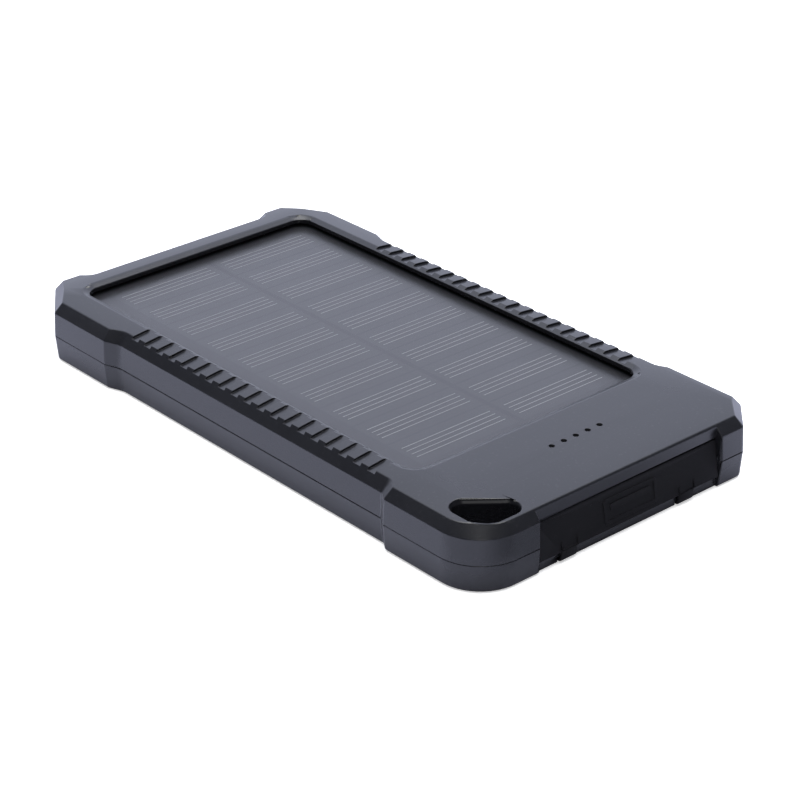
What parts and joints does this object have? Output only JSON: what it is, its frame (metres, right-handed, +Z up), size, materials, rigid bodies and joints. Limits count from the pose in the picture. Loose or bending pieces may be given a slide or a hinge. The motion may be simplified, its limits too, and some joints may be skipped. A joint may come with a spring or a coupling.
{
  "type": "solar phone charger",
  "caption": "Rugged handheld solar power bank with a bevelled panel window, grip grooves, indicator holes, a lanyard hole, a hinged port cover and a side button.",
  "frame": {"origin": "centre of the resting face, on the floor", "axes": "+Z up through the solar panel, +Y along the length away from the ports, +X across the width towards the power button"},
  "size_m": [0.0768, 0.142, 0.014],
  "materials": {
    "case_plastic": "fine satin texture, dark slate grey",
    "black_rubber": "matt black silicone",
    "panel_laminate": "clear PET laminate, satin",
    "adhesive_tape": "black double-sided tape",
    "silicon": "dark blue-grey cells under the laminate",
    "silver_print": "printed silver lines",
    "circuit_board": "green solder mask",
    "light_guide": "clear acrylic",
    "led_resin": "diffuse resin",
    "zinc_steel": "zinc plated",
    "black_steel": "black oxide",
    "socket_steel": "nickel plated sheet",
    "insulator": "white LCP",
    "contact_gold": "gold flash",
    "ferrite": "moulded ferrite",
    "chip_resin": "moulded epoxy",
    "capacitor_ceramic": "ceramic with tinned ends",
    "switch_plastic": "black nylon",
    "button_plastic": "black satin",
    "pouch_foil": "embossed pouch foil",
    "foam": "closed-cell foam",
    "lead_insulation": "PVC insulation"
  },
  "bodies": {
    "housing": {"upper_case": "case_plastic", "lower_case": "case_plastic", "cover_straps": "black_rubber", "panel_laminate": "panel_laminate", "panel_tape": "adhesive_tape", "solar_cells": "silicon", "cell_fingers": "silver_print", "panel_board": "circuit_board", "light_guide": "light_guide", "indicator_leds": "led_resin", "main_board": "circuit_board", "board_screws": "zinc_steel", "case_screws": "black_steel", "usb_a_shells": "socket_steel", "usb_a_insulators": "insulator", "usb_a_contacts": "contact_gold", "micro_usb_shell": "socket_steel", "micro_usb_tongue": "insulator", "power_inductor": "ferrite", "controller_chips": "chip_resin", "chip_capacitors": "capacitor_ceramic", "tact_switch": "socket_steel", "battery_cell": "pouch_foil", "battery_pcm": "circuit_board", "battery_pads": "adhesive_tape", "battery_foam": "foam", "battery_leads": "lead_insulation", "solar_leads": "lead_insulation"},
    "cover": {"port_cover": "black_rubber"},
    "button": {"power_button": "button_plastic", "switch_plunger": "switch_plastic"}
  },
  "joints": [
    {"name": "cover_hinge", "type": "hinge", "parent": "housing", "child": "cover", "pos_m": [0.00135, -0.0702, 0.0013], "axis": [1, 0, 0], "range_deg": [0, 100]},
    {"name": "button_press", "type": "slide", "parent": "housing", "child": "button", "axis": [-1, 0, 0], "range_m": [0, 0.0004], "stiffness_N_per_m": 5000}
  ]
}
